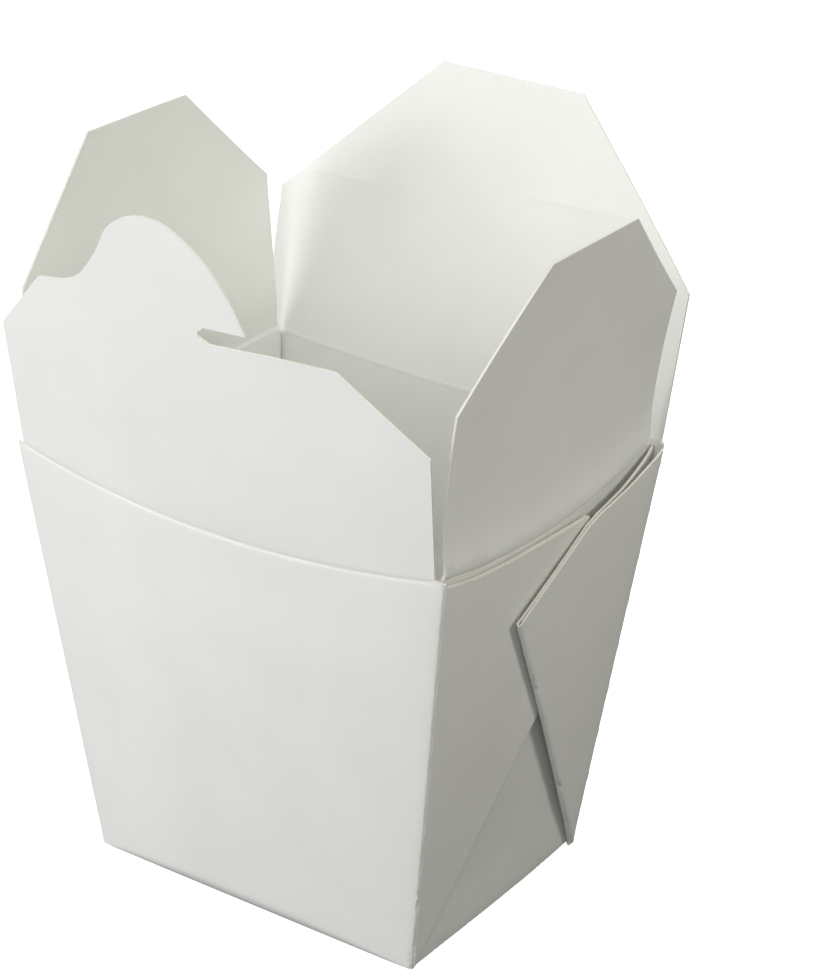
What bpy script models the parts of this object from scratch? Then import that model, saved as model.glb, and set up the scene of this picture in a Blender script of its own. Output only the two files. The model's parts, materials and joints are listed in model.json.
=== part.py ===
"""Folded paperboard takeaway pail, open, with its four closing flaps standing.

The pail is one white board blank.  Its tapered tub is a rectangular base, a
front and a back wall that bow outwards at the rim, and two side walls with the
corner gussets folded flat over them: at each side the front gusset lies
against the side wall and the back gusset overlaps it and stands off a little.
Four flaps stand on the rim creases: the front one carries a hooked locking
tongue over a slot, the back one is the largest, and the two side flaps are
alike.  The tub is one solid, and each flap is its own, hinged on its crease.

Units are metres.  The front wall faces -Y, +Z is up, and the origin is the
centre of the base's underside.
"""
import math

import bmesh
import bpy
from mathutils import Matrix, Vector

# Driving dimensions
HEIGHT = 0.087                 # base to the rim's corners, straight up
BASE_LENGTH = 0.0730           # outside, along X
BASE_DEPTH = 0.0545            # outside, along Y
RIM_LENGTH = 0.0950
RIM_DEPTH = 0.0720
BOARD = 0.00045                # board thickness
CREASE_GAP = 0.0006            # slit between tub and flap along a crease
OVERLAP = 0.0002               # how far joined sheets run into each other
WALL_PILLOW = 0.0008           # extra swell of front and back walls at half height
OUTLINE_MARGIN = 0.001         # how far a flap's sheet runs past its outline

# Crease arcs: how far the middle of each crease sags below the straight line
# between its ends, and how far it bows outwards
FRONT_SAG, FRONT_BOW = 0.0040, 0.0030
BACK_SAG, BACK_BOW = 0.0030, 0.0025
SIDE_SAG, SIDE_BOW = 0.0040, 0.0004

# Side walls stand inside the gussets
SIDE_INSET_BASE = 0.00085
SIDE_INSET_RIM = 0.0010
SIDE_HINGE_DROP = 0.0012       # side hinges lie this far below the rim's corners

# Gussets: two layers of board each, outlined in the plane of the side wall as
# (distance from the middle towards their own corner, height below the rim)
GUSSET_THICKNESS = 0.00105
GUSSET_ROOT_INSET = 0.00005    # outer face at the corner, inside the wall's end
FRONT_GUSSET = [
    (0.0300, -0.0864), (0.0264, -0.0864), (-0.0105, -0.0354), (-0.0105, -0.0052),
    (0.0150, -0.0040), (0.0260, -0.0030), (0.0358, -0.0006), (0.0400, -0.0006),
]
BACK_GUSSET = [
    (0.0300, -0.0864), (0.0264, -0.0864), (-0.0140, -0.0172), (0.0076, -0.0053),
    (0.0114, -0.0044), (0.0214, -0.0034), (0.0279, -0.0022), (0.0358, -0.0006),
    (0.0400, -0.0006),
]
GUSSET_TIP = -0.0180           # a gusset's sheet ends this far past the middle
GUSSET_FOOT = 0.0005           # and this far above the base's underside
FRONT_GUSSET_LIFT = 0.0        # how far each gusset's free end stands proud
BACK_GUSSET_LIFT = 0.0030

# Flaps: lean from upright, in degrees, outwards
FRONT_LEAN, BACK_LEAN, LEFT_LEAN, RIGHT_LEAN = 8.1, 15.8, 0.6, 0.4
RIGHT_CURL = 0.0060            # the right flap's tip bends outwards this far
FLATTENING = 0.5               # share of its crease's bow that a flap loses up to its tip
LONG_HALF_WIDTH = 0.0459       # front and back flaps pass between the standing side flaps
SIDE_HALF_WIDTH = 0.0350

# Flap outlines: (along the crease, up the flap), seen from outside the pail.
# "corner" points are sharp and "smooth" ones lie on a flowing curve.
FRONT_FLAP = [
    ("corner", 0.0500, -0.0100), ("corner", 0.0459, 0.0242),
    ("corner", 0.0293, 0.0366), ("corner", 0.0165, 0.0361),
    ("corner", 0.0031, 0.0350), ("smooth", 0.0009, 0.0364), ("corner", 0.0022, 0.0380),
    ("corner", 0.0113, 0.0386), ("smooth", 0.0077, 0.0455), ("smooth", 0.0003, 0.0532),
    ("smooth", -0.0078, 0.0562), ("smooth", -0.0164, 0.0531), ("smooth", -0.0215, 0.0456),
    ("smooth", -0.0268, 0.0400), ("corner", -0.0355, 0.0377),
    ("corner", -0.0459, 0.0252), ("corner", -0.0500, -0.0100),
]
BACK_FLAP = [
    ("corner", 0.0500, -0.0100), ("corner", 0.0459, 0.0277), ("corner", 0.0157, 0.0584),
    ("corner", -0.0157, 0.0584), ("corner", -0.0459, 0.0277), ("corner", -0.0500, -0.0100),
]
SIDE_FLAP = [
    ("corner", 0.0380, -0.0100), ("corner", 0.0350, 0.0318), ("corner", 0.0134, 0.0532),
    ("corner", -0.0134, 0.0532), ("corner", -0.0350, 0.0318), ("corner", -0.0380, -0.0100),
]

# How finely the sheets are divided: columns along the crease, rows up the sheet
LONG_GRID = (12, 5)
SIDE_GRID = (12, 4)
GUSSET_GRID = (4, 4)
FLAP_GRID = (12, 6)
CURVE_STEPS = 5                # steps between two points of a flowing outline

CUT_DEPTH = 0.02               # half length of an outline cutter
WELD_DISTANCE = 1e-6
BOARD_WHITE = (0.86, 0.86, 0.85, 1.0)
BOARD_ROUGHNESS = 0.55


def clear_scene():
    """Remove every object of the open scene."""
    for item in list(bpy.data.objects):
        bpy.data.objects.remove(item, do_unlink=True)


def new_collection(name):
    """A collection linked to the scene."""
    collection = bpy.data.collections.new(name)
    bpy.context.scene.collection.children.link(collection)
    return collection


def move_to(item, collection):
    """Put an object in one collection only."""
    for holder in list(item.users_collection):
        holder.objects.unlink(item)
    collection.objects.link(item)


def board_material(name):
    """White clay-coated board."""
    material = bpy.data.materials.new(name)
    material.use_nodes = True
    shader = material.node_tree.nodes["Principled BSDF"]
    shader.inputs["Base Color"].default_value = BOARD_WHITE
    shader.inputs["Roughness"].default_value = BOARD_ROUGHNESS
    shader.inputs["Metallic"].default_value = 0.0
    return material


def mix(low, high, share):
    """Straight blend between two values."""
    return low + (high - low) * share


def arch(share):
    """1 in the middle of a crease, 0 at its ends (share runs -1 to 1)."""
    return 1.0 - share * share


def half_length(height):
    """Outer half length of the tub at a height, along X."""
    return mix(BASE_LENGTH, RIM_LENGTH, height / HEIGHT) / 2


def half_depth(height):
    """Half depth of the tub at its corner edges, along Y."""
    return mix(BASE_DEPTH, RIM_DEPTH, height / HEIGHT) / 2


def wall_depth(height, share, bow):
    """How far out a front or back wall's outer face stands, bow and pillow added."""
    rise = height / HEIGHT
    swell = bow * rise + WALL_PILLOW * math.sin(math.pi * rise)
    return half_depth(height) + swell * arch(share)


def curved_sheet(name, surface, grid, thickness, collection):
    """A grid bent onto surface(across, up), both -1 to 1, and thickened inwards."""
    columns, rows = grid
    bpy.ops.mesh.primitive_grid_add(x_subdivisions=columns, y_subdivisions=rows, size=2)
    sheet = bpy.context.object
    sheet.name = name
    for vertex in sheet.data.vertices:
        vertex.co = surface(vertex.co.x, vertex.co.y)
    solidify = sheet.modifiers.new("Board", "SOLIDIFY")
    solidify.thickness = thickness
    solidify.offset = -1.0
    move_to(sheet, collection)
    return sheet


def outline_prism(name, points, depth, collection):
    """A closed outline in XY, made solid through +-depth along Z."""
    curve = bpy.data.curves.new(name, "CURVE")
    curve.dimensions = "2D"
    curve.fill_mode = "BOTH"
    curve.extrude = depth
    curve.resolution_u = CURVE_STEPS
    spline = curve.splines.new("BEZIER")
    spline.bezier_points.add(len(points) - 1)
    for point, (kind, across, up) in zip(spline.bezier_points, points):
        point.co = (across, up, 0.0)
        handle = "VECTOR" if kind == "corner" else "AUTO"
        point.handle_left_type = handle
        point.handle_right_type = handle
    spline.use_cyclic_u = True
    outline = bpy.data.objects.new(name + "_outline", curve)
    collection.objects.link(outline)
    prism = solid_copy(outline, name, collection)
    bpy.data.objects.remove(outline)
    return prism


def solid_copy(source, name, collection):
    """The evaluated object as one welded mesh object, in the same place."""
    graph = bpy.context.evaluated_depsgraph_get()
    mesh = bpy.data.meshes.new_from_object(source.evaluated_get(graph))
    weld(mesh)
    copy = bpy.data.objects.new(name, mesh)
    copy.matrix_world = source.matrix_world
    collection.objects.link(copy)
    return copy


def weld(mesh):
    """Join the loose caps of an extruded outline and face everything outwards."""
    shape = bmesh.new()
    shape.from_mesh(mesh)
    bmesh.ops.remove_doubles(shape, verts=shape.verts, dist=WELD_DISTANCE)
    bmesh.ops.recalc_face_normals(shape, faces=shape.faces)
    shape.to_mesh(mesh)
    shape.free()


def combine(target, operation, other, name):
    """One exact Boolean on an object; other is an object or a collection."""
    boolean = target.modifiers.new(name, "BOOLEAN")
    boolean.operation = operation
    boolean.solver = "EXACT"
    if isinstance(other, bpy.types.Collection):
        boolean.operand_type = "COLLECTION"
        boolean.collection = other
    else:
        boolean.object = other


def hide_cutter(item):
    """Show a cutter as wires only."""
    item.hide_render = True
    item.display_type = "WIRE"


def finish_solid(item, name, collection):
    """Apply an object's modifiers into a new named mesh object and drop the old one."""
    solid = solid_copy(item, name, collection)
    bpy.data.objects.remove(item, do_unlink=True)
    return solid


# The tub ---------------------------------------------------------------------


def long_wall(name, facing, sag, bow, collection):
    """The front (facing -1) or back (facing 1) wall, up to its crease arc."""
    def surface(across, up):
        top = HEIGHT - CREASE_GAP / 2 - sag * arch(across)
        height = mix(0.0, top, (up + 1) / 2)
        along = -facing * across * half_length(height)
        return Vector((along, facing * wall_depth(height, across, bow), height))
    return curved_sheet(name, surface, LONG_GRID, BOARD, collection)


def side_face(height, share):
    """Where a side's outer face would lie if it were flush with the corners, along X."""
    return half_length(height) + SIDE_BOW * arch(share) * height / HEIGHT


def side_wall_out(height, share):
    """Outer face of a side wall, under its gussets, along X."""
    inset = mix(SIDE_INSET_BASE, SIDE_INSET_RIM, height / HEIGHT)
    return side_face(height, share) - inset


def side_wall(name, facing, collection):
    """The left (facing -1) or right (facing 1) wall, run into front and back walls."""
    def surface(across, up):
        top = HEIGHT - CREASE_GAP / 2 - SIDE_SAG * arch(across)
        height = mix(0.0, top, (up + 1) / 2)
        out = side_wall_out(height, across)
        share = side_wall_out(height, 1) / half_length(height)
        front = -wall_depth(height, share, FRONT_BOW) + OVERLAP
        back = wall_depth(height, share, BACK_BOW) - OVERLAP
        along = mix(front, back, (facing * across + 1) / 2)
        return Vector((facing * out, along, height))
    return curved_sheet(name, surface, SIDE_GRID, BOARD, collection)


def base_panel(name, collection):
    """The flat base, run into the foot of every wall."""
    half_x = BASE_LENGTH / 2 - OVERLAP - SIDE_INSET_BASE
    half_y = BASE_DEPTH / 2 - OVERLAP
    corners = [(half_x, -half_y), (half_x, half_y), (-half_x, half_y), (-half_x, -half_y)]
    points = [("corner", x, y) for x, y in corners]
    base = outline_prism(name, points, BOARD / 2, collection)
    base.location.z = BOARD / 2
    return base


def gusset(name, facing, end, points, lift, collection, cutters):
    """A folded corner gusset on side wall `facing`, rooted at the front or back `end`."""
    slope = math.hypot(HEIGHT, (RIM_LENGTH - BASE_LENGTH) / 2)

    def surface(across, up):
        height = mix(GUSSET_FOOT, HEIGHT - CREASE_GAP / 2, (up + 1) / 2)
        root = half_depth(height) - OVERLAP / 2
        place = mix(GUSSET_TIP, root, (1 + end * facing * across) / 2)
        proud = lift * (root - place) / (root - GUSSET_TIP) - GUSSET_ROOT_INSET
        out = side_face(height, place / root) + proud
        return Vector((facing * out, end * place, height))

    plate = curved_sheet(name, surface, GUSSET_GRID, GUSSET_THICKNESS, collection)
    outline = [("corner", end * facing * out, (1 + below / HEIGHT) * slope) for out, below in points]
    cutter = outline_prism(name + "_cutter", outline, CUT_DEPTH, cutters)
    turn = Matrix.Rotation(facing * math.pi / 2, 4, "Z")
    lean = Matrix.Rotation(math.pi / 2 + math.asin((RIM_LENGTH - BASE_LENGTH) / 2 / slope), 4, "X")
    cutter.matrix_world = Matrix.Translation((facing * BASE_LENGTH / 2, 0, 0)) @ turn @ lean
    hide_cutter(cutter)
    combine(plate, "INTERSECT", cutter, "Outline")
    return plate


def tub(collection, pieces, cutters):
    """Base, walls and gussets joined into one solid."""
    front = long_wall("front_wall", -1, FRONT_SAG, FRONT_BOW, collection)
    long_wall("back_wall", 1, BACK_SAG, BACK_BOW, pieces)
    base_panel("base_panel", pieces)
    for side, facing in (("left", -1), ("right", 1)):
        side_wall(side + "_wall", facing, pieces)
        gusset(side + "_front_gusset", facing, -1, FRONT_GUSSET, FRONT_GUSSET_LIFT, pieces, cutters)
        gusset(side + "_back_gusset", facing, 1, BACK_GUSSET, BACK_GUSSET_LIFT, pieces, cutters)
    combine(front, "UNION", pieces, "Join")
    body = finish_solid(front, "pail_body", collection)
    for piece in list(pieces.objects):
        bpy.data.objects.remove(piece, do_unlink=True)
    return body


# The flaps -------------------------------------------------------------------


def flap_frame(turn, out, height, lean):
    """Matrix at a hinge: local X along the crease, Y up the flap, Z outwards."""
    facing = Matrix.Rotation(math.radians(turn), 4, "Z")
    upright = Matrix.Rotation(math.radians(90 + lean), 4, "X")
    return Matrix.Translation((0, 0, height)) @ facing @ Matrix.Translation((0, -out, 0)) @ upright


def crease_point(share, sag, bow, slope, lean, drop):
    """A crease arc's (up, out) in its flap's frame; slope is its wall's, outwards."""
    low = sag * arch(share) - drop
    out = (bow - slope * sag) * arch(share)
    angle = math.radians(lean)
    up = out * math.sin(angle) - low * math.cos(angle)
    away = out * math.cos(angle) + low * math.sin(angle)
    return up, away


def flap(name, frame, outline, half_width, crease, curl, collection, cutters):
    """A flap's curved board, cut to its outline, in its hinge's frame.

    crease is (half length, sag, bow, wall's slope, lean, drop); the bow fades up the
    flap and curl bends the tip outwards.
    """
    half_crease, sag, bow, slope, lean, drop = crease
    reach = max(up for _, _, up in outline) + OUTLINE_MARGIN

    def surface(across, up):
        share = across * half_width / half_crease
        foot, away = crease_point(share, sag, bow, slope, lean, drop)
        height = mix(foot + CREASE_GAP / 2, reach, (up + 1) / 2)
        rise = max(height, 0.0) / reach
        out = away * (1 - FLATTENING * rise) + curl * rise ** 2
        return Vector((across * half_width, height, out + BOARD / 2))

    board = curved_sheet(name + "_board", surface, FLAP_GRID, BOARD, collection)
    cutter = outline_prism(name + "_cutter", outline, CUT_DEPTH, cutters)
    hide_cutter(cutter)
    combine(board, "INTERSECT", cutter, "Outline")
    solid = finish_solid(board, name, collection)
    solid.matrix_world = frame
    cutter.matrix_world = frame
    return solid


def all_flaps(collection, cutters):
    """The four flaps, each with its origin on its hinge's axis."""
    half_rim = RIM_LENGTH / 2
    deep = RIM_DEPTH / 2 - BOARD / 2
    wide = side_wall_out(HEIGHT, 1) - BOARD / 2
    low = HEIGHT - SIDE_HINGE_DROP
    long_slope = (RIM_DEPTH - BASE_DEPTH) / 2 / HEIGHT
    side_slope = (RIM_LENGTH - BASE_LENGTH) / 2 / HEIGHT
    front = (half_rim, FRONT_SAG, FRONT_BOW, long_slope, FRONT_LEAN, 0.0)
    back = (half_rim, BACK_SAG, BACK_BOW, long_slope, BACK_LEAN, 0.0)
    left = (RIM_DEPTH / 2, SIDE_SAG, SIDE_BOW, side_slope, LEFT_LEAN, SIDE_HINGE_DROP)
    right = (RIM_DEPTH / 2, SIDE_SAG, SIDE_BOW, side_slope, RIGHT_LEAN, SIDE_HINGE_DROP)
    flap("front_flap", flap_frame(0, deep, HEIGHT, FRONT_LEAN), FRONT_FLAP,
         LONG_HALF_WIDTH, front, 0.0, collection, cutters)
    flap("back_flap", flap_frame(180, deep, HEIGHT, BACK_LEAN), BACK_FLAP,
         LONG_HALF_WIDTH, back, 0.0, collection, cutters)
    flap("left_flap", flap_frame(-90, wide, low, LEFT_LEAN), SIDE_FLAP,
         SIDE_HALF_WIDTH, left, 0.0, collection, cutters)
    flap("right_flap", flap_frame(90, wide, low, RIGHT_LEAN), SIDE_FLAP,
         SIDE_HALF_WIDTH, right, RIGHT_CURL, collection, cutters)


def main():
    clear_scene()
    collection = new_collection("paper_pail")
    pieces = new_collection("tub_pieces")
    cutters = new_collection("cutters")
    tub(collection, pieces, cutters)
    all_flaps(collection, cutters)
    for item in collection.objects:
        item.data.materials.clear()
        item.data.materials.append(board_material(item.name))


main()
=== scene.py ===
"""Looks of the folded paperboard pail: its board sheets, finish, light and camera.

Every wall is one sheet of board with its flap.  A sheet is drawn flat, as on the
blank, divided into small triangles, bent into place and given the board's
thickness.  The corner gussets are folded double in the same way.  Units are metres.
"""
import json
import math

import bpy
import numpy as np
from mathutils import Matrix, Vector
from mathutils.geometry import delaunay_2d_cdt, intersect_point_line


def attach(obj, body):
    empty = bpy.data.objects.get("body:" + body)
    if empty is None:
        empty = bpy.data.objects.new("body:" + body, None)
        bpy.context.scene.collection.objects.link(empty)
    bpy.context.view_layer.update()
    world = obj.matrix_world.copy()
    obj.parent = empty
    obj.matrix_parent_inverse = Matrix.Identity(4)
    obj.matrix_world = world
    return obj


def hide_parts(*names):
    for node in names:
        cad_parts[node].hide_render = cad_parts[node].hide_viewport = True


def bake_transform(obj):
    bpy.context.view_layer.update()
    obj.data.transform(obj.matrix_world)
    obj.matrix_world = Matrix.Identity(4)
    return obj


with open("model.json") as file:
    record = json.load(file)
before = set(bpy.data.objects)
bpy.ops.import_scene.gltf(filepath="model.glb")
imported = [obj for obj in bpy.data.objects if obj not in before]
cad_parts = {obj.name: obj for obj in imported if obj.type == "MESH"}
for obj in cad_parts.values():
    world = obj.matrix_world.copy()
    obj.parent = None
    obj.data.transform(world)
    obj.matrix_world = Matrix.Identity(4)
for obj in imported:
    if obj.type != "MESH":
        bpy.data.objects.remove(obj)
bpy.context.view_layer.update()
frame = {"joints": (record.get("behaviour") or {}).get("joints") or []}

# Tub, partly from the frame's hinges
HINGE = {joint["name"]: Vector(joint["pos_m"]) for joint in frame["joints"]}
BOARD = 0.00045                                  # board thickness
HEIGHT = HINGE["front_crease"].z                 # base to the rim's corners
RIM_DEPTH = 2 * HINGE["back_crease"].y + BOARD
RIM_LENGTH = 0.0956
BASE_LENGTH = 0.0738
BASE_DEPTH = 0.0549
PILLOW = 0.0008                                  # swell of front and back walls
FOLD_RADIUS = 0.0005                             # outside of a corner fold
SEAM = 0.0002                                    # how far a corner's wrap runs past its fold
RIM_CUT = 0.0004                                 # the corner folds end this far below the rim

# Crease arcs: sag below the line between the corners, and bow outwards
FRONT_SAG, FRONT_BOW = 0.0040, 0.0030
BACK_SAG, BACK_BOW = 0.0030, 0.0025
SIDE_SAG, SIDE_BOW = 0.0040, 0.0004
SIDE_INSET = 0.0012                              # side walls stand inside the gussets,
BASE_INSET, INSET_REACH = 0.0004, 0.0120         # less so near the base,
BACK_INSET_BASE = 0.0014                         # and further in at their back end
BACK_INSET_RIM = {"left": 0.0064, "right": 0.0030}
INSET_POWER = 4                                  # most of that comes close to the back end
SIDE_CLEARANCE = 0.0002                          # between a side wall's ends and the corners
SIDE_RIM_CUT = 0.0010                            # a side wall's ends stop this far below the rim
CREASE_DEPTH = 0.00012                           # groove pressed along a crease
CREASE_WIDTH = 0.00035

# The walls' bottom edges round under, and front and back walls belly out above them
FOOT_RADIUS = 0.0003
BELLY, BELLY_REACH = 0.0023, 0.0042

# Flaps lean outwards from upright, in degrees
LEAN = {"front": 8.1, "back": 15.8, "left": 1.4, "right": 0.4}
RIGHT_CURL = 0.0060                              # its tip bends outwards
FLATTENING = 0.5                                 # share of the bow lost up to a flap's tip
FLARE = {"left": 0.0009, "right": 0.0016}        # side flaps bend out just above their crease
FLARE_START, FLARE_REACH = 0.0009, 0.0028        # and lean back within this height
STRAIGHTENING = {"left": 0.45, "right": 1.0}     # share of the back inset lost up to the shoulders

# Gussets, as (distance from the middle to their own corner, height below the rim)
GUSSET_FOLD_RADIUS = 0.00047
GUSSET_GAPE, GAPE_REACH = 0.00012, 0.0045        # the folded edge stays a little open
GUSSET_TIP = -0.0180                             # a gusset springs open from its corner to here
GUSSET_TOP, GUSSET_FOOT = 0.0013, 0.0008         # its corner edge: below the rim, above the base
LAYER_GAP = 0.0001                               # between a gusset and its side wall
LAP = 0.00008                                    # a gusset lies over the end of its corner's wrap
SPRING = 0.4                                     # a gusset bellies out, more than evenly
FRONT_GUSSET = {
    "fold": [(0.0266, -0.0861), (-0.0105, -0.0354)],
    "cut": [(-0.0105, -0.0056), (0.0150, -0.0044), (0.0260, -0.0033), (0.0347, -0.0014)],
    "lift": 0.0,
}
BACK_GUSSET = {
    "fold": [(0.0268, -0.0861), (-0.0114, -0.0184)],
    "cut": [(0.0088, -0.0064), (0.0124, -0.0054), (0.0219, -0.0041), (0.0280, -0.0027),
            (0.0345, -0.0013)],
    "lift": 0.0020,
}

# Flap outlines: (along the crease, up the flap), seen from outside
FRONT_FLAP = [
    ("corner", 0.0459, 0.0), ("corner", 0.0467, 0.0242), ("corner", 0.0293, 0.0366),
    ("corner", 0.0165, 0.0361), ("corner", 0.0031, 0.0350), ("smooth", 0.0009, 0.0364),
    ("corner", 0.0022, 0.0380), ("corner", 0.0113, 0.0386), ("smooth", 0.0077, 0.0455),
    ("smooth", 0.0003, 0.0532), ("smooth", -0.0078, 0.0562), ("smooth", -0.0164, 0.0531),
    ("smooth", -0.0215, 0.0456), ("smooth", -0.0268, 0.0400), ("corner", -0.0355, 0.0377),
    ("corner", -0.0467, 0.0252), ("corner", -0.0459, 0.0),
]
BACK_FLAP = [
    ("corner", 0.0432, 0.0), ("smooth", 0.0457, 0.0100), ("corner", 0.0469, 0.0277),
    ("corner", 0.0155, 0.0587), ("corner", -0.0162, 0.0587), ("corner", -0.0467, 0.0277),
    ("corner", -0.0470, 0.0),
]
FLAP_FOOT = 0.0006                               # a side flap's free ends start above its hinge
SIDE_FLAPS = {
    "left": [("corner", 0.0350, FLAP_FOOT), ("corner", 0.0338, 0.0305), ("corner", 0.0142, 0.0546),
             ("corner", -0.0134, 0.0544), ("corner", -0.0350, 0.0330), ("corner", -0.0350, FLAP_FOOT)],
    "right": [("corner", 0.0336, FLAP_FOOT), ("corner", 0.0350, 0.0318), ("corner", 0.0134, 0.0532),
              ("corner", -0.0134, 0.0532), ("corner", -0.0350, 0.0318), ("corner", -0.0350, FLAP_FOOT)],
}

# Lines pressed across the back flap, with the tongue's closed slit between them: (start, end, depth)
BACK_SCORES = [
    ((0.0399, 0.0321), (0.0286, 0.0322), 0.00012),
    ((0.0286, 0.0322), (-0.0095, 0.0371), 0.00003),
    ((-0.0095, 0.0371), (-0.0316, 0.0384), 0.00012),
]
SHOULDER = 0.0318                                # height of a side flap's straight ends

GRID = 0.0019                                    # spacing of a sheet's points
BASE_GRID = 0.0040
ROW_MARGIN = 0.45                                # share of the spacing kept free beside a row
NEAR_EDGE = 0.00008                              # no point is closer to its sheet's outline
GUSSET_NEAR_EDGE = 0.00035
MERGE_WITHIN = 1e-7                              # points this close become one
CURVE_STEPS = 9                                  # of an outline, between two of its points
ROW_STEPS = 64                                   # of a row along a crease or foot
CORNER_STEPS = 56                                # of a row down a corner fold
CORNER_TURNS = (0, 30, 60, 90)                   # where those rows lie on the fold, in degrees
GUSSET_STEPS = 40                                # of a row along a gusset's fold
SCORE_STEP = 0.0008                              # between the points of a row along a score

# Where rows of points lie: above a foot, beside a crease, beside a score, and beside a
# gusset's fold, where 1 is half the fold's width
BELLY_ROWS = (0.0007, 0.0014, 0.0021, 0.0028, 0.0035, 0.0042)
CREASE_ROWS = (-0.0010, -0.0005, -0.00025, 0.0, 0.00025, 0.0005, 0.0010)
SCORE_ROWS = (-0.0006, -0.0003, 0.0, 0.0003, 0.0006)
GUSSET_ROWS = (-2.0, -1.0, -0.6, -0.3, 0.0, 0.3, 0.6, 1.0, 2.0)

SHARP_ANGLE = 40                                 # degrees; faces that meet at more stay crisp


def mix(low, high, share):
    """Straight blend between two values."""
    return low + (high - low) * share


def arch(share):
    """1 in the middle of a crease, 0 at its ends."""
    return 1.0 - min(share * share, 1.0)


# The tub's form ----------------------------------------------------------------


def half_length(height):
    """Outer half length of the tub, along X."""
    return mix(BASE_LENGTH, RIM_LENGTH, height / HEIGHT) / 2


def half_depth(height):
    """Half depth of the tub at its corners, along Y."""
    return mix(BASE_DEPTH, RIM_DEPTH, height / HEIGHT) / 2


def side_face(height, share):
    """Where a side's outer face lies, along X."""
    return half_length(height) + SIDE_BOW * arch(share) * height / HEIGHT


def side_inset(side, height, place):
    """How far a side wall stands inside its side's outer face; place is along Y."""
    share = min(max((place / half_depth(height) + 1) / 2, 0.0), 1.0)
    front = mix(BASE_INSET, SIDE_INSET, min(height / INSET_REACH, 1.0))
    back = mix(BACK_INSET_BASE, BACK_INSET_RIM[side], height / HEIGHT)
    return mix(front, back, share ** INSET_POWER)


def foot(height, radius):
    """How a wall's lowest stretch rounds under: its (height, inset)."""
    turn = (radius - height) / radius
    if turn <= 0:
        return height, 0.0
    return radius * (1 - math.sin(turn)), radius * (1 - math.cos(turn))


def foot_end(radius):
    """Where a rounded foot meets the underside, as a height on the flat sheet."""
    return radius * (1 - math.pi / 2)


def belly(height, share):
    """How far a front or back wall swells out above its foot, in a crescent."""
    rise = height / (BELLY_REACH * arch(share) + 1e-6)
    return BELLY * (1 - max(1 - rise, 0.0) ** 2) * (1 - height / HEIGHT)


def crease_height(share, sag):
    """Height of a crease arc."""
    return HEIGHT - sag * arch(share)


def groove(distance, depth=CREASE_DEPTH):
    """Depth of a pressed line, at a distance from its middle."""
    return depth * math.exp(-(distance / CREASE_WIDTH) ** 2)


def pressed(point, scores):
    """Depth of the scored lines at a point of a flap."""
    total = 0.0
    for start, end, depth in scores:
        _, share = intersect_point_line(point, start, end)
        nearest = Vector(start).lerp(Vector(end), min(max(share, 0.0), 1.0))
        total += groove((Vector(point) - nearest).length, depth)
    return total


# Flat sheets ---------------------------------------------------------------------


def flowing(points):
    """The outline through corner and smooth points, as a list of (x, y)."""
    curve = bpy.data.curves.new("outline", "CURVE")
    curve.dimensions = "2D"
    curve.resolution_u = CURVE_STEPS
    spline = curve.splines.new("BEZIER")
    spline.bezier_points.add(len(points) - 1)
    for point, (kind, across, up) in zip(spline.bezier_points, points):
        point.co = (across, up, 0.0)
        handle = "VECTOR" if kind == "corner" else "AUTO"
        point.handle_left_type = handle
        point.handle_right_type = handle
    outline = bpy.data.objects.new("outline", curve)
    bpy.context.scene.collection.objects.link(outline)
    line = [(vertex.co.x, vertex.co.y) for vertex in outline.to_mesh().vertices]
    bpy.data.objects.remove(outline)
    return line


def stepped(line, step):
    """A closed outline with points no further apart than step."""
    points = []
    for start, end in zip(line, line[1:] + line[:1]):
        count = max(1, math.ceil(math.dist(start, end) / step))
        for index in range(count):
            share = index / count
            points.append((mix(start[0], end[0], share), mix(start[1], end[1], share)))
    return points


def inside(points, outline):
    """Which points lie within an outline."""
    x, y = points[:, 0], points[:, 1]
    found = np.zeros(len(points), bool)
    for (x0, y0), (x1, y1) in zip(outline, outline[1:] + outline[:1]):
        if y0 != y1:
            crosses = (y0 > y) != (y1 > y)
            found ^= crosses & (x < (x1 - x0) * (y - y0) / (y1 - y0) + x0)
    return found


def nearest_distance(points, others):
    """How far each point is from the nearest of some others."""
    return np.sqrt(((points[:, None] - np.array(others)[None]) ** 2).sum(2)).min(1)


def flat_sheet(outline, rows=(), grid=GRID, margin=NEAR_EDGE):
    """Vertices and triangles that fill an outline, with points along some rows."""
    edge = stepped(outline, grid)
    low = np.min(outline, axis=0)
    high = np.max(outline, axis=0)
    across, up = np.meshgrid(np.arange(low[0] + grid / 2, high[0], grid),
                             np.arange(low[1] + grid / 2, high[1], grid))
    across[::2] += grid / 2
    filling = np.column_stack([across.ravel(), up.ravel()])
    marks = [point for row in rows for point in row]
    if marks:
        loose = filling[nearest_distance(filling, marks) > grid * ROW_MARGIN]
        filling = np.vstack([loose, marks])
    filling = filling[inside(filling, edge) & (nearest_distance(filling, edge) > margin)]
    points = [Vector(point) for point in edge] + [Vector(point) for point in filling]
    sides = [(index, (index + 1) % len(edge)) for index in range(len(edge))]
    made = delaunay_2d_cdt(points, sides, [], 1, MERGE_WITHIN)
    return made[0], made[2]


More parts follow.
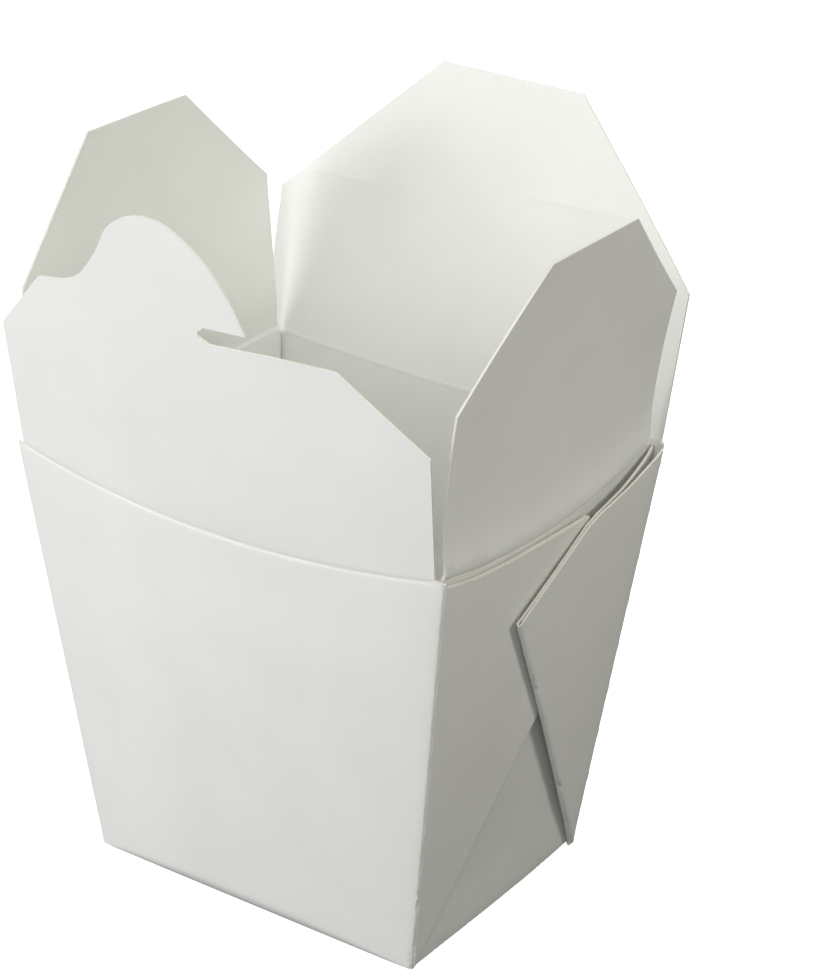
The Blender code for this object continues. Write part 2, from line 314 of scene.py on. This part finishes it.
def sheet(name, flat, bend, materials):
    """A flat sheet bent by bend(x, y), thickened inwards, as one finished object."""
    points, triangles = flat
    used = sorted({index for triangle in triangles for index in triangle})
    place = {index: order for order, index in enumerate(used)}
    mesh = bpy.data.meshes.new(name)
    mesh.from_pydata([bend(*points[index]) for index in used], [],
                     [[place[index] for index in triangle] for triangle in triangles])
    item = bpy.data.objects.new(name, mesh)
    bpy.context.scene.collection.objects.link(item)
    for material in materials:
        mesh.materials.append(material)
    solidify = item.modifiers.new("Board", "SOLIDIFY")
    solidify.thickness = BOARD
    solidify.offset = -1.0
    solidify.material_offset = 1
    solidify.material_offset_rim = 2
    graph = bpy.context.evaluated_depsgraph_get()
    solid = bpy.data.meshes.new_from_object(item.evaluated_get(graph))
    item.modifiers.clear()
    item.data = solid
    bpy.data.meshes.remove(mesh)
    solid.name = name
    solid.shade_smooth()
    solid.set_sharp_from_angle(angle=math.radians(SHARP_ANGLE))
    return item


# Front and back panels -----------------------------------------------------------


def wall_face(height, share, bow):
    """How far out a front or back wall's outer face stands."""
    rise = height / HEIGHT
    swell = bow * rise + PILLOW * math.sin(math.pi * rise) + belly(height, share)
    return half_depth(height) + swell * arch(share)


def long_wall_point(across, height, bow):
    """A point of the front wall, whose ends wrap round the corner folds."""
    share = across / half_length(height)
    level, inset = foot(height, FOOT_RADIUS)
    half = half_length(level) - inset
    start = half - FOLD_RADIUS
    size = abs(across)
    out = wall_face(level, share, bow) - inset
    if size <= start:
        return Vector((across, -out, level))
    turn = min((size - start) / FOLD_RADIUS, math.pi / 2)
    past = max(size - start - FOLD_RADIUS * math.pi / 2, 0.0)
    along = start + FOLD_RADIUS * math.sin(turn)
    back = FOLD_RADIUS * (1 - math.cos(turn)) + past
    return Vector((math.copysign(along, across), back - out, level))


def flap_frame(turn, out, height, lean):
    """Matrix at a hinge: local X along the crease, Y up the flap, Z outwards."""
    facing = Matrix.Rotation(math.radians(turn), 4, "Z")
    upright = Matrix.Rotation(math.radians(90 + lean), 4, "X")
    return Matrix.Translation((0, 0, height)) @ facing @ Matrix.Translation((0, -out, 0)) @ upright


def flap_out(up, foot_up, foot_out, reach, curl):
    """How far a flap's middle layer stands out from its hinge plane."""
    rise = max(up, 0.0) / reach
    return foot_out * (1 - FLATTENING * rise) + curl * rise ** 2


def long_panel(name, turn, sag, bow, lean, outline, scores, materials):
    """The front or back wall with its flap, one sheet."""
    slope = (RIM_DEPTH - BASE_DEPTH) / 2 / HEIGHT
    hinge = flap_frame(0, RIM_DEPTH / 2 - BOARD / 2, HEIGHT, lean)
    reach = max(up for _, _, up in outline)
    angle = math.radians(lean)

    def bend(across, up):
        share = across / (RIM_LENGTH / 2)
        crease = crease_height(share, sag)
        if up <= crease:
            point = long_wall_point(across, up, bow)
        else:
            low = sag * arch(share)
            out = (bow - slope * sag) * arch(share)
            foot_up = out * math.sin(angle) - low * math.cos(angle)
            foot_out = out * math.cos(angle) + low * math.sin(angle)
            rise = mix(foot_up, reach, (up - crease) / (HEIGHT + reach - crease))
            away = flap_out(rise, foot_up, foot_out, reach, 0.0)
            point = hinge @ Vector((across, rise, away + BOARD / 2))
        return point + Vector((0, groove(up - crease) + pressed((across, up - HEIGHT), scores), 0))

    wrap = FOLD_RADIUS * (math.pi / 2 - 1) + SEAM
    low = foot_end(FOOT_RADIUS)
    wall = [("corner", -half_length(0) - wrap, low), ("corner", half_length(0) + wrap, low),
            ("corner", RIM_LENGTH / 2 + wrap, HEIGHT - RIM_CUT)]
    flap = [(kind, across, HEIGHT + up) for kind, across, up in outline]
    rim = [("corner", -RIM_LENGTH / 2 - wrap, HEIGHT - RIM_CUT)]
    rows = crease_rows(sag, RIM_LENGTH / 2) + corner_rows() + score_rows(scores)
    rows += foot_rows(half_length(0), BELLY_ROWS)
    flat = flat_sheet(flowing(wall + flap + rim), rows)
    item = sheet(name, flat, bend, materials)
    item.data.transform(Matrix.Rotation(math.radians(turn), 4, "Z"))
    return item


def foot_rows(half, above):
    """Rows of points round a wall's foot, and at some heights above it."""
    rows = []
    for height in (0.0, FOOT_RADIUS / 2, FOOT_RADIUS) + above:
        rows.append([(mix(-half, half, index / ROW_STEPS), height)
                     for index in range(ROW_STEPS + 1)])
    return rows


def score_rows(scores):
    """Rows of points along and beside the scored lines."""
    rows = []
    for start, end, _ in scores:
        start, end = Vector(start), Vector(end)
        count = math.ceil((end - start).length / SCORE_STEP)
        beside = (end - start).orthogonal().normalized()
        for offset in SCORE_ROWS:
            shift = beside * offset
            rows.append([tuple(start.lerp(end, index / count) + shift + Vector((0, HEIGHT)))
                         for index in range(count + 1)])
    return rows


def corner_rows():
    """Rows of points round the corner folds of a front or back sheet."""
    rows = []
    for facing in (-1, 1):
        for turn in CORNER_TURNS:
            row = []
            for index in range(1, CORNER_STEPS):
                height = HEIGHT * index / CORNER_STEPS
                past = FOLD_RADIUS * (math.radians(turn) - 1)
                row.append((facing * (half_length(height) + past), height))
            rows.append(row)
    return rows


def crease_rows(sag, half):
    """Rows of points close to a crease arc, so that its groove shows."""
    rows = []
    for offset in CREASE_ROWS:
        row = []
        for index in range(ROW_STEPS + 1):
            across = mix(-half, half, index / ROW_STEPS)
            row.append((across, crease_height(across / half, sag) + offset))
        rows.append(row)
    return rows


# Side panels -----------------------------------------------------------------------


def side_panel(side, facing, lean, curl, materials):
    """A side wall with its flap, one sheet, inside the gussets."""
    slope = (RIM_LENGTH - BASE_LENGTH) / 2 / HEIGHT
    hinge = HINGE[side + "_crease"]
    drop = HEIGHT - hinge.z
    reach = max(up for _, _, up in SIDE_FLAPS[side])
    local = flap_frame(90 * facing, abs(hinge.x), hinge.z, lean)
    angle = math.radians(lean)

    def bend(across, up):
        share = across / (RIM_DEPTH / 2)
        crease = crease_height(share, SIDE_SAG)
        place = facing * across
        if up <= crease:
            level, inset = foot(up, FOOT_RADIUS)
            out = side_face(level, share) - side_inset(side, level, place) - inset
            return Vector((facing * out, place, level))
        low = SIDE_SAG * arch(share) - drop
        out = (SIDE_BOW - slope * SIDE_SAG) * arch(share)
        foot_up = out * math.sin(angle) - low * math.cos(angle)
        foot_out = out * math.cos(angle) + low * math.sin(angle)
        rise = mix(foot_up, reach, (up - crease) / (hinge.z + reach - crease))
        away = flap_out(rise, foot_up, foot_out, reach, curl)
        start = 1 - math.exp((crease - up) / FLARE_START)
        away += FLARE[side] * start * math.exp((crease - up) / FLARE_REACH)
        lost = STRAIGHTENING[side] * min(max(rise, 0.0) / SHOULDER, 1.0)
        away -= (side_inset(side, HEIGHT, place) - SIDE_INSET) * (1 - lost)
        return local @ Vector((across, rise, away + BOARD / 2))

    inner = BOARD + SIDE_CLEARANCE
    low = foot_end(FOOT_RADIUS)
    wall = [("corner", -half_depth(0) + inner, low), ("corner", half_depth(0) - inner, low),
            ("corner", half_depth(HEIGHT) - inner, HEIGHT - SIDE_RIM_CUT)]
    flap = [(kind, across, hinge.z + up) for kind, across, up in SIDE_FLAPS[side]]
    rim = [("corner", inner - half_depth(HEIGHT), HEIGHT - SIDE_RIM_CUT)]
    rows = crease_rows(SIDE_SAG, RIM_DEPTH / 2) + foot_rows(half_depth(0), ())
    flat = flat_sheet(flowing(wall + flap + rim), rows)
    return sheet(side + "_panel", flat, bend, materials)


# Gussets -------------------------------------------------------------------------


def mirrored(point, start, end):
    """A point reflected in the line from start to end."""
    line = Vector(end) - Vector(start)
    offset = Vector(point) - Vector(start)
    along = offset.dot(line) / line.length_squared
    return tuple(Vector(start) + 2 * along * line - offset)


def gusset_fold(form):
    """A gusset's fold on the flat sheet: its start, its tip and where its outer layer lies."""
    start, tip = [Vector((place, HEIGHT + below)) for place, below in form["fold"]]
    line = (tip - start).normalized()
    normal = Vector((line.y, -line.x))
    return start, tip, normal


def gusset_blank(form):
    """A gusset laid flat: its outer layer, and the inner one mirrored in the fold."""
    radius = GUSSET_FOLD_RADIUS
    spare = math.pi * radius / 2
    start, tip, normal = gusset_fold(form)
    corner = half_depth(HEIGHT) - FOLD_RADIUS
    root = [(corner, HEIGHT - GUSSET_TOP),
            (half_depth(GUSSET_FOOT) - FOLD_RADIUS, GUSSET_FOOT)]
    cut = [(place, HEIGHT + below) for place, below in form["cut"]]
    loop = [tuple(start), tuple(tip)] + cut + root
    outer = [tuple(Vector(point) + normal * (spare - radius)) for point in loop]
    fold_start = start - normal * radius
    fold_tip = tip - normal * radius
    inner = [mirrored(point, fold_start, fold_tip) for point in outer]
    outline = outer[1:] + outer[:1] + inner[:1] + inner[:0:-1]
    rows = []
    for offset in GUSSET_ROWS:
        shift = normal * spare * offset
        rows.append([tuple(fold_start.lerp(fold_tip, index / GUSSET_STEPS) + shift)
                     for index in range(GUSSET_STEPS + 1)])
    return flat_sheet(outline, rows, margin=GUSSET_NEAR_EDGE)


def fold_over(offset):
    """Round a gusset's fold: how far in from its edge and how deep a point comes to lie."""
    radius = GUSSET_FOLD_RADIUS
    spare = math.pi * radius / 2
    size = abs(offset)
    if size < spare:
        turn = offset / radius
        inward = radius * (1 - math.cos(turn))
        depth = radius * (1 - math.sin(turn))
    else:
        inward = size - spare + radius
        depth = 0.0 if offset > 0 else 2 * radius
    gape = GUSSET_GAPE * math.exp(-max(size - spare, 0.0) / GAPE_REACH)
    depth += math.copysign(gape, -offset) * min(size / spare, 1.0)
    return inward, depth


def gusset(side, facing, end, form, materials):
    """A corner gusset: a sheet folded double, flat against the side wall."""
    start, _, normal = gusset_fold(form)
    fold_start = start - normal * GUSSET_FOLD_RADIUS

    def bend(across, up):
        offset = (Vector((across, up)) - fold_start).dot(normal)
        foot_point = Vector((across, up)) - normal * offset
        inward, depth = fold_over(offset)
        place, height = foot_point + normal * inward
        edge = half_depth(height) - FOLD_RADIUS
        if offset < 0 and end > 0:
            room = side_inset(side, height, place) - LAYER_GAP - depth
            depth += max(room, 0.0) * min(max(place / edge, 0.0), 1.0)
        proud = form["lift"] * (max(edge - place, 0.0) / (edge - GUSSET_TIP)) ** SPRING
        out = side_face(height, place / half_depth(height)) + LAP + proud - depth
        return Vector((facing * out, end * place, height))

    points, triangles = gusset_blank(form)
    if facing * end < 0:
        triangles = [triangle[::-1] for triangle in triangles]
    name = f"{side}_{'front' if end < 0 else 'back'}_gusset"
    return sheet(name, (points, triangles), bend, materials)


def base_panel(materials):
    """The flat base between the walls' rounded feet."""
    points, triangles = flat_sheet(base_outline(), grid=BASE_GRID)
    triangles = [triangle[::-1] for triangle in triangles]

    def bend(across, along):
        return Vector((across, along, 0.0))

    return sheet("base_panel", (points, triangles), bend, materials)


def base_outline():
    """Where the walls' rounded feet meet the underside."""
    steps = 24
    end = half_depth(0) - FOOT_RADIUS
    front, right, back, left = [], [], [], []
    for index in range(steps):
        share = 2 * index / steps - 1
        front.append((share * side_edge(-1), -end))
        right.append((side_edge(share), share * end))
        back.append((-share * side_edge(1), end))
        left.append((-side_edge(-share), -share * end))
    return front + right + back + left


def side_edge(share):
    """How far the base reaches to either side; share is -1 in front and 1 at the back."""
    return half_length(0) - side_inset("right", 0.0, share * half_depth(0)) - FOOT_RADIUS


# Materials -----------------------------------------------------------------------


def board_material(name, light, dark, roughness, fibre):
    """Clay-coated board: cloudy colour, fine fibres in the relief and a soft gloss."""
    material = bpy.data.materials.new(name)
    material.use_nodes = True
    tree = material.node_tree
    shader = tree.nodes["Principled BSDF"]
    shader.inputs["Specular IOR Level"].default_value = 0.35
    place = tree.nodes.new("ShaderNodeTexCoord")
    cloud = tree.nodes.new("ShaderNodeTexNoise")
    cloud.inputs["Scale"].default_value = 60.0
    cloud.inputs["Detail"].default_value = 4.0
    ramp = tree.nodes.new("ShaderNodeValToRGB")
    ramp.color_ramp.elements[0].position = 0.3
    ramp.color_ramp.elements[0].color = (*dark, 1.0)
    ramp.color_ramp.elements[1].position = 0.7
    ramp.color_ramp.elements[1].color = (*light, 1.0)
    tree.links.new(place.outputs["Object"], cloud.inputs["Vector"])
    tree.links.new(cloud.outputs["Fac"], ramp.inputs["Fac"])
    tree.links.new(ramp.outputs["Color"], shader.inputs["Base Color"])
    gloss = tree.nodes.new("ShaderNodeMapRange")
    gloss.inputs["To Min"].default_value = roughness - 0.06
    gloss.inputs["To Max"].default_value = roughness + 0.06
    tree.links.new(cloud.outputs["Fac"], gloss.inputs["Value"])
    tree.links.new(gloss.outputs["Result"], shader.inputs["Roughness"])
    grain = tree.nodes.new("ShaderNodeTexNoise")
    grain.inputs["Scale"].default_value = 2200.0
    grain.inputs["Detail"].default_value = 3.0
    stretch = tree.nodes.new("ShaderNodeMapping")
    stretch.inputs["Scale"].default_value = (1.0, 1.0, 0.45)
    bump = tree.nodes.new("ShaderNodeBump")
    bump.inputs["Strength"].default_value = fibre
    bump.inputs["Distance"].default_value = 0.00004
    tree.links.new(place.outputs["Object"], stretch.inputs["Vector"])
    tree.links.new(stretch.outputs["Vector"], grain.inputs["Vector"])
    tree.links.new(grain.outputs["Fac"], bump.inputs["Height"])
    tree.links.new(bump.outputs["Normal"], shader.inputs["Normal"])
    return material


def floor_material():
    """White floor, lit from within so that only the pail's nearest shade shows."""
    material = bpy.data.materials.new("white_floor")
    material.use_nodes = True
    shader = material.node_tree.nodes["Principled BSDF"]
    shader.inputs["Base Color"].default_value = (0.9, 0.9, 0.9, 1.0)
    shader.inputs["Roughness"].default_value = 0.9
    shader.inputs["Emission Color"].default_value = (1.0, 1.0, 1.0, 1.0)
    shader.inputs["Emission Strength"].default_value = 0.85
    return material


# Stage, light and camera -----------------------------------------------------------

FLOOR_RADIUS = 3.0
LIGHT_AIM = HEIGHT * 0.8                         # height that the softboxes face
CAMERA_AZIMUTH, CAMERA_ELEVATION, CAMERA_ROLL = 34.574, 25.688, 1.208
CAMERA_DISTANCE = 6.920 * HEIGHT                 # from the aimed point
CAMERA_AIM_RIGHT, CAMERA_AIM_UP = 0.162 * HEIGHT, 0.891 * HEIGHT
FOCAL_PIXELS, LONG_SIDE_PIXELS, SENSOR = 3246.3, 976, 36.0


def make_floor():
    """A wide disc under the pail."""
    bpy.ops.mesh.primitive_circle_add(vertices=96, radius=FLOOR_RADIUS, fill_type="NGON")
    floor = bpy.context.object
    floor.name = "floor"
    floor.data.materials.append(floor_material())
    floor.visible_diffuse = False
    floor.visible_glossy = False


def direction(azimuth, elevation):
    """Unit vector from the pail towards a compass angle, in degrees; 0 is in front."""
    turn, rise = math.radians(azimuth), math.radians(elevation)
    return Vector((math.sin(turn) * math.cos(rise), -math.cos(turn) * math.cos(rise), math.sin(rise)))


def soft_light(name, azimuth, elevation, distance, size, power, colour):
    """A square softbox aimed at the pail's middle."""
    data = bpy.data.lights.new(name, "AREA")
    data.size = size
    data.energy = power
    data.color = colour
    lamp = bpy.data.objects.new(name, data)
    bpy.context.scene.collection.objects.link(lamp)
    away = direction(azimuth, elevation)
    lamp.location = Vector((0, 0, LIGHT_AIM)) + away * distance
    lamp.rotation_euler = away.to_track_quat("Z", "Y").to_euler()


def make_light():
    """Softboxes: low in front on the left, two high in front, two behind and one at the right."""
    soft_light("key_light", -40, 8, 0.8, 0.5, 3.7, (1.0, 1.0, 0.99))
    soft_light("front_light", -5, 35, 0.8, 0.5, 2.58, (1.0, 1.0, 0.98))
    soft_light("corner_light", 30, 35, 0.8, 0.5, 1.0, (1.0, 1.0, 0.95))
    soft_light("back_light", 180, 65, 0.8, 0.5, 3.0, (0.985, 1.0, 0.96))
    soft_light("rear_light", 200, 12, 0.8, 0.5, 1.6, (1.0, 1.0, 0.98))
    soft_light("right_light", 99, 26, 0.42, 0.12, 0.44, (1.0, 0.99, 0.84))
    world = bpy.data.worlds.new("surround")
    bpy.context.scene.world = world
    world.use_nodes = True
    background = world.node_tree.nodes["Background"]
    background.inputs["Color"].default_value = (1.0, 1.0, 0.98, 1.0)
    background.inputs["Strength"].default_value = 0.16


def make_camera():
    """The photograph's view."""
    turn, roll = math.radians(CAMERA_AZIMUTH), math.radians(CAMERA_ROLL)
    back = direction(CAMERA_AZIMUTH, CAMERA_ELEVATION)
    level = Vector((math.cos(turn), math.sin(turn), 0))
    upright = back.cross(level)
    right = level * math.cos(roll) + upright * math.sin(roll)
    above = upright * math.cos(roll) - level * math.sin(roll)
    place = level * CAMERA_AIM_RIGHT + Vector((0, 0, CAMERA_AIM_UP)) + back * CAMERA_DISTANCE
    data = bpy.data.cameras.new("camera")
    data.sensor_width = SENSOR
    data.lens = FOCAL_PIXELS / LONG_SIDE_PIXELS * SENSOR
    camera = bpy.data.objects.new("camera", data)
    bpy.context.scene.collection.objects.link(camera)
    camera.matrix_world = Matrix((
        (right.x, above.x, back.x, place.x),
        (right.y, above.y, back.y, place.y),
        (right.z, above.z, back.z, place.z),
        (0, 0, 0, 1)))
    bpy.context.scene.camera = camera


def crease_blend(item, body):
    """Bake a sheet's placement into its mesh and hide the frame's solid of the flap's body; the sheet
    spans the tub and that flap.
    """
    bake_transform(item)
    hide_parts(body)


def make_pail():
    """All the sheets; the gussets and the base ride on the tub's body."""
    outside = board_material("coated_board", (0.87, 0.87, 0.865), (0.84, 0.84, 0.83), 0.5, 0.25)
    within = board_material("board_inside", (0.87, 0.87, 0.85), (0.84, 0.84, 0.82), 0.6, 0.35)
    edge = board_material("cut_edge", (0.80, 0.78, 0.73), (0.70, 0.67, 0.61), 0.85, 0.8)
    materials = (outside, within, edge)
    front = long_panel("front_panel", 0, FRONT_SAG, FRONT_BOW, LEAN["front"], FRONT_FLAP, [],
                       materials)
    crease_blend(front, "front_flap")
    back = long_panel("back_panel", 180, BACK_SAG, BACK_BOW, LEAN["back"], BACK_FLAP, BACK_SCORES,
                      materials)
    crease_blend(back, "back_flap")
    for side, facing, curl in (("left", -1, 0.0), ("right", 1, RIGHT_CURL)):
        panel = side_panel(side, facing, LEAN[side], curl, materials)
        crease_blend(panel, side + "_flap")
        for end, form in ((-1, FRONT_GUSSET), (1, BACK_GUSSET)):
            folded = gusset(side, facing, end, form, materials)
            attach(folded, "tub")
    base = base_panel(materials)
    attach(base, "tub")
    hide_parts("pail_body")


make_camera()
make_pail()
make_floor()
make_light()
bpy.context.scene.view_settings.view_transform = "Standard"
